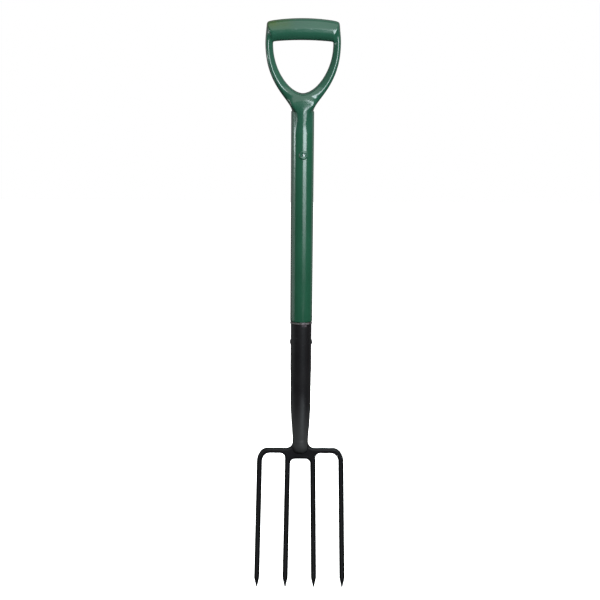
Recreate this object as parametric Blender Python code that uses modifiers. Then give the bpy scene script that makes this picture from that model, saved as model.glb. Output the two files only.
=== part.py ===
"""Border fork: forged four-tine head, swaged steel socket, plastic-covered tube shaft and D handle.

Metres, +Z up. The tines' points are at z = 0, the shaft is on the Z axis, the front faces -Y.
"""

import math

import bmesh
import bpy
from mathutils import Matrix, Vector

# Clearance between pieces that touch on the real tool
GAP = 0.0003
MERGE = 0.00001

# Lengths along the tool, from the points up
HEAD_LENGTH = 0.2307
NECK_RISE = 0.0114
NECK_LENGTH = 0.0576
SOCKET_DRAFT_LENGTH = 0.0410
SOCKET_SEAT_LENGTH = 0.0925
COVER_LENGTH = 0.3005
COLLAR_LENGTH = 0.0335
YOKE_HEIGHT = 0.0278
OPENING_HEIGHT = 0.0826
GRIP_HEIGHT = 0.0331

# Fork head: widths are from the axis
TINE_WIDTH = 0.0086
TINE_THICKNESS = 0.0092
TINE_CHAMFER = 0.0027
OUTER_TINE_TOP_X = 0.0650
OUTER_TINE_TIP_X = 0.0690
INNER_TINE_TOP_X = 0.0201
INNER_TINE_TIP_X = 0.0230
POINT_LENGTH = 0.0155
POINT_WIDTH = 0.0017
CROSSBAR_HEIGHT = 0.0088
WEB_HEIGHT = 0.0185
SHOULDER_RADIUS = 0.0165
SHOULDER_STRETCH = 1.45
INNER_SHOULDER_RADIUS = 0.0115
INNER_SHOULDER_STRETCH = 1.2
CROTCH_RADIUS = 0.0075
FLARE_RADIUS = 0.009
FLARE_REACH = 0.0037
HEAD_SLICES = 12

# Side profile: the neck carries the head forward, and the tines bow back between it and the points
LIFT = 0.014
LIFT_CLEARANCE = 0.015
TINE_BOW = 0.007

# Neck: the socket is swaged down on the tang and welded to the head's boss
NECK_RADIUS = 0.0123
NECK_FALL = 1.35
WELD_HALF_HEIGHT = 0.0019
WELD_ROOT_HALF_HEIGHT = 0.0006
WELD_CROWN = 0.00015
TANG_LENGTH = 0.0536
NECK_ROWS = 7

# Boss under the neck: its corners' and noses' roundness are exponents, and 2 is an ellipse's
BOSS_DROP = 0.0086
BOSS_HALF_WIDTH = 0.0126
BOSS_ARC_RADIUS = 0.0180
BOSS_CORNER = 6
BOSS_SINK = 0.0010
BOSS_SQUARENESS = 0.35
BOSS_FRONT_NOSE = 2.3
BOSS_BACK_NOSE = 1.3
BOSS_ROWS = 9

# Shaft tube, socket and cover
TUBE_RADIUS = 0.0143
TUBE_WALL = 0.0015
TUBE_RISE = 0.005
SOCKET_WALL = 0.00195
SOCKET_DRAFT = 0.0004
RIM_HEIGHT = 0.0026
RIM_FLARE = 0.0010
COVER_BOTTOM_WALL = 0.0029
COVER_TOP_WALL = 0.0034
COVER_END_ROUND = 0.0024

# Handle moulding: a collar and spigot on the tube, and a D grip above
COLLAR_SHOULDER = 0.0015
COLLAR_ROOF = 0.009
SPIGOT_LENGTH = 0.083
SPIGOT_WALL = 0.004
SPIGOT_LEAD = 0.0025
HANDLE_HALF_WIDTH = 0.0592
GRIP_ARCH = 0.0050
GRIP_UNDER_ARCH = 0.0035
GRIP_DEPTH = 0.0305
GRIP_END_INSET = 0.0026
GRIP_CORNER = 0.005
ARM_TOP_WIDTH = 0.0125
ARM_DEPTH = 0.0200
ARM_START_DROP = 0.0014
WAIST_INSET = 0.0016
COLLAR_INSET = 0.0005
CROTCH_EDGE = 0.0018
TONGUE_PROUD = 0.0024
TONGUE_SINK = 0.0005
TONGUE_FLANK = 0.0022
TONGUE_STOP = 0.0008
TONGUE_HALF_ANGLE = math.radians(41)
TONGUE_END_HALF_ANGLE = math.radians(11.5)

# Rivets
SOCKET_RIVET_DROP = 0.0325
SOCKET_RIVET_SHANK = 0.0025
SOCKET_RIVET_HEAD = 0.0040
SOCKET_RIVET_DOME = 0.0011
HANDLE_RIVET_DROP = 0.0345
HANDLE_RIVET_TURN = math.radians(5.5)
HANDLE_RIVET_SHANK = 0.0025
HANDLE_RIVET_FLANGE = 0.0075
HANDLE_RIVET_LIP = 0.0035
HANDLE_RIVET_RISE = 0.0019
HANDLE_RIVET_SWELL = 0.0011
STEM_RADIUS = 0.0011
RIVET_BAND = 0.012

# Facets round a turned piece
ROUND_STEPS = 48
MIDDLE_STEPS = 32
SMALL_STEPS = 24
ARC_STEP = 0.0025

# Columns of the handle's cage from its outer edge to its inner edge: share of the width, of the depth
GRIP_SECTION = ((-0.045, 0), (0.06, 0.66), (0.36, 1.02), (0.68, 1.0), (0.95, 0.60), (1.05, 0))
END_SECTION = ((-0.02, 0), (0.05, 0.60), (0.30, 1.0), (0.70, 0.95), (0.96, 0.58), (1.02, 0))
ARM_SECTION = ((0, 0), (0.03, 0.46), (0.27, 1.0), (0.66, 0.72), (0.96, 0.44), (1, 0))
RIDGE_CREASE = 0.8

# Rows of the cage: places along the grip, as shares of its half length
GRIP_ROWS = (0, 0.28, 0.55, 0.77)

# Rows round the grip's end, in grip corners: outer point in and down, inner point in and down, then
# the share of the grip's depth and the section
CORNER_ROWS = (
    ((0.9, -0.04), (0.3, -0.12), 0.95, GRIP_SECTION),
    ((0.04, 0.24), (0.04, 0.04), 0.88, END_SECTION),
    ((-0.08, 1.4), (0, 0.28), 0.78, END_SECTION),
)

# Rows of the arm lean, because its outer edge is longer than its inner one
ARM_ROWS = 11
ARM_SWELL = 0.30
ARM_RIB_LEAN = 0.85
ARM_OUTER_SHARE = 0.68

# Rows of the yoke: share of the outer edge, of the yoke's height, and how far the ridge and the
# middle have swollen from the arms to the tongue
YOKE_ROWS = ((0.79, 0.69, 0.50, 0.72), (0.89, 0.36, 0.80, 0.93))
TONGUE_ROWS = 6

# Heights where one stretch of the tool ends and the next starts
NECK_Z = HEAD_LENGTH + NECK_RISE
NECK_START_Z = NECK_Z + NECK_LENGTH
SOCKET_STRAIGHT_Z = NECK_START_Z + SOCKET_DRAFT_LENGTH
RIM_TOP_Z = SOCKET_STRAIGHT_Z + SOCKET_SEAT_LENGTH
COLLAR_BOTTOM_Z = RIM_TOP_Z + COVER_LENGTH
COLLAR_TOP_Z = COLLAR_BOTTOM_Z + COLLAR_LENGTH
CROTCH_Z = COLLAR_TOP_Z + YOKE_HEIGHT
GRIP_LOW_Z = CROTCH_Z + OPENING_HEIGHT
GRIP_TOP_Z = GRIP_LOW_Z + GRIP_HEIGHT

# Heights that follow from them
BOSS_LOW_Z = HEAD_LENGTH - BOSS_DROP
BOSS_TOP_Z = NECK_Z - WELD_HALF_HEIGHT
SOCKET_END_Z = NECK_Z + WELD_HALF_HEIGHT
TANG_TOP_Z = NECK_Z + TANG_LENGTH
LIFT_TOP_Z = SOCKET_STRAIGHT_Z - LIFT_CLEARANCE
TUBE_BOTTOM_Z = SOCKET_STRAIGHT_Z + TUBE_RISE
SOCKET_RIVET_Z = RIM_TOP_Z - SOCKET_RIVET_DROP
COVER_BOTTOM_Z = RIM_TOP_Z + GAP
COVER_TOP_Z = COLLAR_BOTTOM_Z - GAP
HANDLE_RIVET_Z = COLLAR_BOTTOM_Z - HANDLE_RIVET_DROP
SPIGOT_BOTTOM_Z = COLLAR_BOTTOM_Z - SPIGOT_LENGTH
GROOVE_TOP_Z = COLLAR_TOP_Z - COLLAR_ROOF
TONGUE_END_Z = COLLAR_BOTTOM_Z + TONGUE_STOP
GRIP_END_LOW_Z = GRIP_LOW_Z - GRIP_UNDER_ARCH
ARM_START_Z = GRIP_END_LOW_Z - ARM_START_DROP

# Radii and widths that follow from the tube's and from the clearance
TUBE_INNER_RADIUS = TUBE_RADIUS - TUBE_WALL
SOCKET_INNER_RADIUS = TUBE_RADIUS + GAP
SOCKET_RADIUS = SOCKET_INNER_RADIUS + SOCKET_WALL
NECK_START_RADIUS = SOCKET_RADIUS - SOCKET_DRAFT
TANG_RADIUS = NECK_RADIUS - SOCKET_WALL - GAP
COVER_INNER_RADIUS = TUBE_RADIUS + GAP
COVER_BOTTOM_RADIUS = COVER_INNER_RADIUS + COVER_BOTTOM_WALL
COVER_TOP_RADIUS = COVER_INNER_RADIUS + COVER_TOP_WALL
COLLAR_RADIUS = COVER_TOP_RADIUS
SPIGOT_RADIUS = TUBE_INNER_RADIUS - GAP
SPIGOT_BORE = SPIGOT_RADIUS - SPIGOT_WALL
HANDLE_RIVET_WELL = HANDLE_RIVET_FLANGE - HANDLE_RIVET_LIP
HANDLE_RIVET_BULB = HANDLE_RIVET_SHANK + HANDLE_RIVET_SWELL
HANDLE_RIVET_BLIND = math.sqrt(SPIGOT_BORE**2 - HANDLE_RIVET_BULB**2) - GAP
HANDLE_RIVET_END = HANDLE_RIVET_BLIND - HANDLE_RIVET_BULB
GRIP_END_X = HANDLE_HALF_WIDTH - GRIP_END_INSET
ARM_INNER_X = HANDLE_HALF_WIDTH - ARM_TOP_WIDTH


def blend(t):
    """Smooth step from 0 to 1."""
    t = min(max(t, 0.0), 1.0)
    return t * t * (3 - 2 * t)


def centre_line(z):
    """How far the tool's middle lies in front of (-) the shaft axis at height z."""
    lift = -LIFT * blend((LIFT_TOP_Z - z) / (LIFT_TOP_Z - BOSS_LOW_Z))
    if z >= HEAD_LENGTH:
        return lift
    share = max(z, 0.0) / HEAD_LENGTH
    return lift + TINE_BOW * 4 * share * (1 - share)


def rounded_path(corners):
    """Points of an open path; each inner corner (x, z, radius, stretch of the arc in z) is rounded."""
    points = []
    last = len(corners) - 1
    for index, (x, z, radius, *stretch) in enumerate(corners):
        corner = Vector((x, z))
        segments = math.ceil(radius / ARC_STEP) + 3
        if radius == 0 or index in (0, last):
            points.append(corner)
            continue
        back = (Vector(corners[index - 1][:2]) - corner).normalized()
        ahead = (Vector(corners[index + 1][:2]) - corner).normalized()
        half_angle = back.angle(ahead) / 2
        centre = corner + (back + ahead).normalized() * radius / math.sin(half_angle)
        start = corner + back * radius / math.tan(half_angle) - centre
        end = corner + ahead * radius / math.tan(half_angle) - centre
        sweep = math.atan2(start.x * end.y - start.y * end.x, start.dot(end))
        for step in range(segments + 1):
            point = centre + Matrix.Rotation(sweep * step / segments, 2) @ start
            if stretch:
                point.y = z + (point.y - z) * stretch[0]
            points.append(point)
    return points


def clear_scene():
    for obj in list(bpy.data.objects):
        bpy.data.objects.remove(obj, do_unlink=True)


def new_collection(name):
    collection = bpy.data.collections.new(name)
    bpy.context.scene.collection.children.link(collection)
    return collection


def finish(name, colour, roughness, metallic):
    """A Principled BSDF material."""
    material = bpy.data.materials.new(name)
    material.use_nodes = True
    shader = material.node_tree.nodes["Principled BSDF"]
    shader.inputs["Base Color"].default_value = (*colour, 1)
    shader.inputs["Roughness"].default_value = roughness
    shader.inputs["Metallic"].default_value = metallic
    return material


def new_object(name, mesh, collection, material=None):
    obj = bpy.data.objects.new(name, mesh)
    collection.objects.link(obj)
    if material:
        mesh.materials.append(material)
    return obj


def make_cutter(obj):
    obj.hide_render = True
    obj.display_type = "WIRE"
    return obj


def turned(name, profile, collection, material=None, closed=True, steps=ROUND_STEPS):
    """A profile of (radius, z) turned about Z. It runs down its outer side."""
    mesh = bpy.data.meshes.new(name)
    count = len(profile)
    edges = [(i, i + 1) for i in range(count - 1)]
    if closed:
        edges.append((count - 1, 0))
    mesh.from_pydata([(radius, 0, z) for radius, z in profile], edges, [])
    obj = new_object(name, mesh, collection, material)
    screw = obj.modifiers.new("Turn", "SCREW")
    screw.steps = steps
    screw.render_steps = steps
    screw.use_merge_vertices = True
    screw.merge_threshold = MERGE
    return obj


def bake(obj):
    """Puts the evaluated mesh in place of the object's modifiers."""
    graph = bpy.context.evaluated_depsgraph_get()
    mesh = bpy.data.meshes.new_from_object(obj.evaluated_get(graph))
    obj.modifiers.clear()
    obj.data = mesh
    return obj


def follow_centre_line(obj):
    """Moves each point of a straight piece forward or back, on to the tool's side profile."""
    for vertex in obj.data.vertices:
        vertex.co.y += centre_line(vertex.co.z)


def boolean(obj, other, operation):
    """Joins or cuts with another object, which then stays as a hidden helper."""
    modifier = obj.modifiers.new(other.name, "BOOLEAN")
    modifier.operation = operation
    modifier.object = other
    make_cutter(other)


def shade(obj, angle):
    obj.data.shade_smooth()
    obj.data.set_sharp_from_angle(angle=math.radians(angle))


def cross_cylinder(name, radius, start, end, collection):
    """A round cutter between two points."""
    mesh = bpy.data.meshes.new(name)
    bm = bmesh.new()
    length = (end - start).length
    bmesh.ops.create_cone(
        bm, cap_ends=True, segments=SMALL_STEPS, radius1=radius, radius2=radius, depth=length
    )
    bm.to_mesh(mesh)
    bm.free()
    obj = new_object(name, mesh, collection)
    obj.location = (start + end) / 2
    obj.rotation_euler = (end - start).to_track_quat("Z", "Y").to_euler()
    return make_cutter(obj)


def tine_edges(top_x, tip_x):
    """Outer and inner edge of a tine at the crossbar and at the start of its point."""
    half = TINE_WIDTH / 2
    return (top_x + half, tip_x + half), (top_x - half, tip_x - half)


def head_outline():
    """Right half of the head's front outline, from the neck's middle round to the web's middle."""
    crossbar_low = HEAD_LENGTH - CROSSBAR_HEIGHT
    web_low = HEAD_LENGTH - WEB_HEIGHT
    plate_top = BOSS_TOP_Z - GAP
    plate_half = NECK_RADIUS - GAP
    outer_out, outer_in = tine_edges(OUTER_TINE_TOP_X, OUTER_TINE_TIP_X)
    inner_out, inner_in = tine_edges(INNER_TINE_TOP_X, INNER_TINE_TIP_X)
    return rounded_path(
        [
            (0, plate_top, 0),
            (plate_half, plate_top, 0),
            (NECK_RADIUS + FLARE_REACH, HEAD_LENGTH, FLARE_RADIUS),
            (outer_out[0], HEAD_LENGTH, SHOULDER_RADIUS, SHOULDER_STRETCH),
            (outer_out[1], POINT_LENGTH, 0),
            (outer_in[1], POINT_LENGTH, 0),
            (outer_in[0], crossbar_low, INNER_SHOULDER_RADIUS, INNER_SHOULDER_STRETCH),
            (inner_out[0], crossbar_low, CROTCH_RADIUS),
            (inner_out[1], POINT_LENGTH, 0),
            (inner_in[1], POINT_LENGTH, 0),
            (inner_in[0], web_low, CROTCH_RADIUS),
            (0, web_low, 0),
        ]
    )


def draw_point(bm, end_face):
    """Draws a tine's end face down to its blunt point."""
    middle = end_face.calc_center_median()
    grown = bmesh.ops.extrude_face_region(bm, geom=[end_face])["geom"]
    tip = [item for item in grown if isinstance(item, bmesh.types.BMVert)]
    bm.faces.remove(end_face)
    for vertex in tip:
        vertex.co = middle + (vertex.co - middle) * POINT_WIDTH / TINE_WIDTH
        vertex.co.z = 0


def head_plate(collection, material):
    """Crossbar, web and tines: half an extruded outline with chamfered edges, mirrored."""
    bm = bmesh.new()
    front = [bm.verts.new((x, -TINE_THICKNESS / 2, z)) for x, z in head_outline()]
    grown = bmesh.ops.extrude_face_region(bm, geom=[bm.faces.new(front)])["geom"]
    back = [item for item in grown if isinstance(item, bmesh.types.BMVert)]
    bmesh.ops.translate(bm, verts=back, vec=(0, TINE_THICKNESS, 0))
    on_plane = [f for f in bm.faces if all(abs(v.co.x) < MERGE for v in f.verts)]
    bmesh.ops.delete(bm, geom=on_plane, context="FACES_ONLY")
    bmesh.ops.recalc_face_normals(bm, faces=bm.faces)

    def is_chamfered(edge):
        one, two = (vertex.co for vertex in edge.verts)
        along_plate = abs(one.y - two.y) < MERGE
        on_mirror = abs(one.x) < MERGE and abs(two.x) < MERGE
        tine_end = abs(one.z - POINT_LENGTH) < MERGE and abs(two.z - POINT_LENGTH) < MERGE
        return along_plate and not on_mirror and not tine_end

    edges = [edge for edge in bm.edges if is_chamfered(edge)]
    bmesh.ops.bevel(bm, geom=edges, offset=TINE_CHAMFER, segments=1, affect="EDGES")
    for face in [f for f in bm.faces if f.calc_center_median().z < POINT_LENGTH + MERGE]:
        draw_point(bm, face)
    bmesh.ops.recalc_face_normals(bm, faces=bm.faces)
    mesh = bpy.data.meshes.new("fork_head")
    bm.to_mesh(mesh)
    bm.free()
    obj = new_object("fork_head", mesh, collection, material)
    mirror = obj.modifiers.new("Other half", "MIRROR")
    mirror.merge_threshold = MERGE
    return obj


def neck_outer_radius(z):
    """Outside of the socket: a slight draft, then swaged down, faster towards the weld."""
    if z >= NECK_START_Z:
        share = min((z - NECK_START_Z) / SOCKET_DRAFT_LENGTH, 1)
        return NECK_START_RADIUS + SOCKET_DRAFT * share
    share = min((NECK_START_Z - z) / (NECK_START_Z - SOCKET_END_Z), 1)
    return NECK_START_RADIUS - (NECK_START_RADIUS - NECK_RADIUS) * share**NECK_FALL


def even_heights(start, end, count):
    return [start + (end - start) * i / count for i in range(count + 1)]


def boss_half_width(z):
    """Half width of the boss: straight sides, then a rounded corner and an arc over the web."""
    rise = min(BOSS_LOW_Z + BOSS_ARC_RADIUS - z, BOSS_ARC_RADIUS)
    arc = math.sqrt(BOSS_ARC_RADIUS**2 - rise**2)
    if arc < MERGE:
        return 0
    return (BOSS_HALF_WIDTH**-BOSS_CORNER + arc**-BOSS_CORNER) ** (-1 / BOSS_CORNER)


def head_boss(helpers):
    """Tang and boss, turned: the tang fills the neck, and the boss ends on the web in a round nose."""
    root = NECK_Z - WELD_ROOT_HALF_HEIGHT
    drop = BOSS_TOP_Z - BOSS_LOW_Z
    profile = [(0, TANG_TOP_Z)]
    for z in even_heights(TANG_TOP_Z, SOCKET_END_Z, NECK_ROWS):
        profile.append((neck_outer_radius(z) - SOCKET_WALL - GAP, z))
    profile += [(TANG_RADIUS, root), (NECK_RADIUS, BOSS_TOP_Z)]
    for i in range(1, BOSS_ROWS + 1):
        z = BOSS_TOP_Z - drop * math.sin(math.pi / 2 * i / BOSS_ROWS)
        profile.append((boss_half_width(z), z))
    boss = bake(turned("head_boss", profile, helpers, closed=False, steps=MIDDLE_STEPS))
    end_depth = TINE_THICKNESS / 2 - BOSS_SINK
    for vertex in boss.data.vertices:
        share = (BOSS_TOP_Z - vertex.co.z) / drop
        if 0 < share < 1:
            half_width = boss_half_width(vertex.co.z)
            power = BOSS_FRONT_NOSE if vertex.co.y < 0 else BOSS_BACK_NOSE
            nose = (1 - share**power) ** (1 / power)
            half_depth = end_depth + (NECK_RADIUS - end_depth) * nose
            forward = min(abs(vertex.co.y) / half_width, 1) ** (1 - BOSS_SQUARENESS * share)
            vertex.co.y = math.copysign(half_depth * forward, vertex.co.y)
    return boss


def fork_head(collection, helpers, material):
    obj = head_plate(collection, material)
    boolean(obj, head_boss(helpers), "UNION")
    bake(obj)
    bm = bmesh.new()
    bm.from_mesh(obj.data)
    crossbar_middle = HEAD_LENGTH - CROSSBAR_HEIGHT / 2
    for cut_z in even_heights(POINT_LENGTH, crossbar_middle, HEAD_SLICES)[1:]:
        geom = bm.verts[:] + bm.edges[:] + bm.faces[:]
        bmesh.ops.bisect_plane(bm, geom=geom, plane_co=(0, 0, cut_z), plane_no=(0, 0, 1))
    bm.to_mesh(obj.data)
    bm.free()
    follow_centre_line(obj)
    shade(obj, 25)
    return obj


def socket(collection, rivet_hole, material):
    """Swaged tube socket: flared rim, straight seat for the shaft, neck drawn down on the tang."""
    rim_low = RIM_TOP_Z - RIM_HEIGHT
    rim_radius = SOCKET_RADIUS + RIM_FLARE
    edge = RIM_FLARE * 0.6
    neck = even_heights(SOCKET_STRAIGHT_Z, NECK_START_Z, 2)[:-1]
    neck += even_heights(NECK_START_Z, SOCKET_END_Z, NECK_ROWS)
    outside = [
        (rim_radius - edge, RIM_TOP_Z),
        (rim_radius, RIM_TOP_Z - edge),
        (rim_radius, rim_low + edge),
        (SOCKET_RADIUS, rim_low - edge),
    ]
    outside += [(neck_outer_radius(z), z) for z in neck]
    root = NECK_Z + WELD_ROOT_HALF_HEIGHT
    inside = [(NECK_RADIUS - SOCKET_WALL, root)]
    inside += [(neck_outer_radius(z) - SOCKET_WALL, z) for z in reversed(neck)]
    inside += [
        (SOCKET_INNER_RADIUS, RIM_TOP_Z - edge),
        (SOCKET_INNER_RADIUS + edge, RIM_TOP_Z),
    ]
    obj = bake(turned("socket", outside + inside, collection, material))
    follow_centre_line(obj)
    shade(obj, 35)
    boolean(obj, rivet_hole, "DIFFERENCE")
    return obj


def neck_weld(collection, material):
    """Weld ring that fills the groove between the socket's end and the head's boss."""
    inner = TANG_RADIUS + GAP
    outer_half = WELD_HALF_HEIGHT - GAP
    root_half = WELD_ROOT_HALF_HEIGHT - GAP
    profile = [
        (NECK_RADIUS, NECK_Z + outer_half),
        (NECK_RADIUS + WELD_CROWN, NECK_Z),
        (NECK_RADIUS, NECK_Z - outer_half),
        (inner, NECK_Z - root_half),
        (inner, NECK_Z + root_half),
    ]
    obj = bake(turned("neck_weld", profile, collection, material))
    follow_centre_line(obj)
    shade(obj, 35)
    return obj


def socket_rivet_hole(helpers):
    reach = Vector((SOCKET_RADIUS * 1.5, 0, 0))
    centre = Vector((0, 0, SOCKET_RIVET_Z))
    radius = SOCKET_RIVET_SHANK + GAP
    return cross_cylinder("socket_rivet_hole", radius, centre - reach, centre + reach, helpers)


def socket_rivet(collection, material):
    """Cross rivet, turned about Z and laid along X, with a low dome at each end."""
    seat = SOCKET_RADIUS + GAP
    crown = seat + SOCKET_RIVET_DOME
    dome_steps = 4
    top = []
    for i in range(dome_steps + 1):
        angle = math.pi / 2 * i / dome_steps
        height = seat + SOCKET_RIVET_DOME * math.cos(angle)
        top.append((SOCKET_RIVET_HEAD * math.sin(angle), height))
    top[0] = (0, crown)
    profile = top + [(SOCKET_RIVET_SHANK, seat), (SOCKET_RIVET_SHANK, -seat)]
    profile += [(radius, -height) for radius, height in reversed(top)]
    obj = turned("socket_rivet", profile, collection, material, closed=False, steps=SMALL_STEPS)
    obj.location = (0, 0, SOCKET_RIVET_Z)
    obj.rotation_euler = (0, math.pi / 2, 0)
    return obj


def shaft_tube(collection, rivet_holes, material):
    top = GROOVE_TOP_Z - GAP
    profile = [
        (TUBE_RADIUS, top),
        (TUBE_RADIUS, TUBE_BOTTOM_Z),
        (TUBE_INNER_RADIUS, TUBE_BOTTOM_Z),
        (TUBE_INNER_RADIUS, top),
    ]
    obj = turned("shaft_tube", profile, collection, material)
    for hole in rivet_holes:
        boolean(obj, hole, "DIFFERENCE")
    return obj


def shaft_cover(collection, rivet_hole, material):
    """Plastic cover on the tube, with a slight draft and a rounded lower end."""
    near_rivet = (HANDLE_RIVET_Z + RIVET_BAND, HANDLE_RIVET_Z - RIVET_BAND)
    end_round = min(COVER_END_ROUND, COVER_BOTTOM_WALL * 0.85)
    profile = rounded_path(
        [
            (COVER_TOP_RADIUS, COVER_TOP_Z, 0),
            *((cover_radius(z), z, 0) for z in near_rivet),
            (COVER_BOTTOM_RADIUS, COVER_BOTTOM_Z, end_round),
            (COVER_INNER_RADIUS, COVER_BOTTOM_Z, 0),
            (COVER_INNER_RADIUS, COVER_TOP_Z, 0),
        ]
    )
    obj = turned("shaft_cover", profile, collection, material)
    boolean(obj, rivet_hole, "DIFFERENCE")
    return obj


def handle_rivet_direction():
    """From the shaft axis out to the rivet, a little right of straight ahead."""
    return Vector((math.sin(HANDLE_RIVET_TURN), -math.cos(HANDLE_RIVET_TURN), 0))


def handle_rivet_hole(helpers):
    centre = Vector((0, 0, HANDLE_RIVET_Z))
    radius = HANDLE_RIVET_SHANK + GAP
    end = centre + handle_rivet_direction() * COVER_TOP_RADIUS * 1.5
    return cross_cylinder("handle_rivet_hole", radius, centre, end, helpers)


def cover_radius(z):
    """Outside of the cover at height z."""
    share = (z - COVER_BOTTOM_Z) / (COVER_TOP_Z - COVER_BOTTOM_Z)
    return COVER_BOTTOM_RADIUS + (COVER_TOP_RADIUS - COVER_BOTTOM_RADIUS) * share


def place_handle_rivet(obj):
    """Bends a turned piece to the cover's curve and turns its axis to point out of the shaft."""
    bake(obj)
    radius = cover_radius(HANDLE_RIVET_Z)
    for vertex in obj.data.vertices:
        vertex.co.z -= radius - math.sqrt(radius**2 - vertex.co.x**2)
    turn = Matrix.Rotation(HANDLE_RIVET_TURN, 4, "Z") @ Matrix.Rotation(math.pi / 2, 4, "X")
    obj.data.transform(turn)
    obj.location = (0, 0, HANDLE_RIVET_Z)
    shade(obj, 40)


def handle_rivet(collection, material):
    """Large-flange blind rivet: dished flange, hollow shank and the bulb behind the spigot."""
    seat = cover_radius(HANDLE_RIVET_Z) + GAP
    crown = seat + HANDLE_RIVET_RISE
    rim = HANDLE_RIVET_RISE * 0.45
    bore = STEM_RADIUS + GAP
    floor = seat + GAP
    profile = [
        (bore, floor),
        (HANDLE_RIVET_WELL - rim, floor),
        (HANDLE_RIVET_WELL + rim / 2, crown - rim / 2),
        (HANDLE_RIVET_WELL + rim * 1.5, crown),
        (HANDLE_RIVET_FLANGE - rim * 1.5, crown - rim / 2),
        (HANDLE_RIVET_FLANGE - rim / 3, seat + rim),
        (HANDLE_RIVET_FLANGE, seat),
        (HANDLE_RIVET_SHANK, seat),
        (HANDLE_RIVET_SHANK, HANDLE_RIVET_BLIND),
        (HANDLE_RIVET_BULB, HANDLE_RIVET_BLIND - rim),
        (HANDLE_RIVET_BULB, HANDLE_RIVET_END + rim),
        (HANDLE_RIVET_SHANK, HANDLE_RIVET_END),
        (bore, HANDLE_RIVET_END),
    ]
    obj = turned("handle_rivet", profile, collection, material, steps=MIDDLE_STEPS)
    place_handle_rivet(obj)
    return obj


def handle_rivet_stem(collection, material):
    """The broken-off stem inside the blind rivet, with its head behind the bulb."""
    top = cover_radius(HANDLE_RIVET_Z) + GAP + HANDLE_RIVET_RISE * 0.6
    head_top = HANDLE_RIVET_END - GAP
    head_radius = STEM_RADIUS * 2
    profile = [
        (0, top),
        (STEM_RADIUS * 0.7, top),
        (STEM_RADIUS, top - STEM_RADIUS * 0.3),
        (STEM_RADIUS, head_top),
        (head_radius, head_top),
        (head_radius * 0.7, head_top - STEM_RADIUS),
        (0, head_top - STEM_RADIUS),
    ]
    obj = turned("handle_rivet_stem", profile, collection, material, closed=False, steps=SMALL_STEPS)
    place_handle_rivet(obj)
    return obj


def cubic(controls, share):
    """Point at a share of the way along one cubic Bezier curve in the XZ plane."""
    start, leave, arrive, end = (Vector(point) for point in controls)
    rest = 1 - share
    near = start * rest**3 + leave * 3 * share * rest**2
    return near + arrive * 3 * share**2 * rest + end * share**3


def arm_outer_edge(share):
    """Point (x, z) on the arm's outer edge, which runs from the grip down to the collar."""
    rise = ARM_START_Z - COLLAR_TOP_Z
    controls = (
        (HANDLE_HALF_WIDTH, ARM_START_Z),
        (HANDLE_HALF_WIDTH, COLLAR_TOP_Z + 0.36 * rise),
        (COLLAR_RADIUS - WAIST_INSET, COLLAR_TOP_Z + 0.145 * rise),
        (COLLAR_RADIUS - COLLAR_INSET, COLLAR_TOP_Z),
    )
    return cubic(controls, share)


def arm_inner_edge(share):
    """Point (x, z) on the arm's inner edge, which runs from the grip down to the crotch."""
    start_z = ARM_START_Z - GRIP_CORNER * 0.6
    controls = (
        (ARM_INNER_X, start_z),
        (ARM_INNER_X * 1.01, CROTCH_Z + 0.5 * (start_z - CROTCH_Z)),
        (ARM_INNER_X * 0.458, CROTCH_Z),
        (0, CROTCH_Z),
    )
    return cubic(controls, share)


def rib(outer, inner, depth, section):
    """One row of the cage: outer and inner are (x, z), depth is front to back."""
    row = []
    for across, forward in section:
        x = outer[0] + (inner[0] - outer[0]) * across
        z = outer[1] + (inner[1] - outer[1]) * across
        row.append(Vector((x, -forward * depth / 2, z)))
    return row


def grip_rows():
    """Rows across the grip bar from the middle out, then round its end to the arm."""
    rows = []
    for share in GRIP_ROWS:
        x = GRIP_END_X * share
        top = GRIP_TOP_Z - GRIP_ARCH * share**2
        low = GRIP_LOW_Z - GRIP_UNDER_ARCH * share**2
        rows.append(rib((x, top), (x, low), GRIP_DEPTH, GRIP_SECTION))
    end_top_z = GRIP_TOP_Z - GRIP_ARCH
    for outer_shift, inner_shift, depth, section in CORNER_ROWS:
        outer = Vector((GRIP_END_X, end_top_z)) - Vector(outer_shift) * GRIP_CORNER
        inner = Vector((ARM_INNER_X, GRIP_END_LOW_Z)) - Vector(inner_shift) * GRIP_CORNER
        rows.append(rib(outer, inner, GRIP_DEPTH * depth, section))
    outer = (HANDLE_HALF_WIDTH - GRIP_CORNER * 0.16, GRIP_END_LOW_Z + GRIP_CORNER * 2)
    inner = (ARM_INNER_X, GRIP_END_LOW_Z - GRIP_CORNER * 0.6)
    rows.append(rib(outer, inner, GRIP_DEPTH * 0.68, ARM_SECTION))
    return rows


def arm_rows():
    """Rows down the arm to the crotch, where the inner edge reaches the middle plane."""
    rows = []
    for i in range(ARM_ROWS):
        share = i / (ARM_ROWS - 1)
        outer = arm_outer_edge(ARM_OUTER_SHARE * share**ARM_RIB_LEAN)
        depth = ARM_DEPTH * (1 + ARM_SWELL * share)
        rows.append(rib(outer, arm_inner_edge(share), depth, ARM_SECTION))
    crotch = rows[-1]
    crotch[3].x *= 0.75
    crotch[4] = Vector((0, crotch[4].y * 1.5, CROTCH_Z - CROTCH_EDGE))
    return rows


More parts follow.
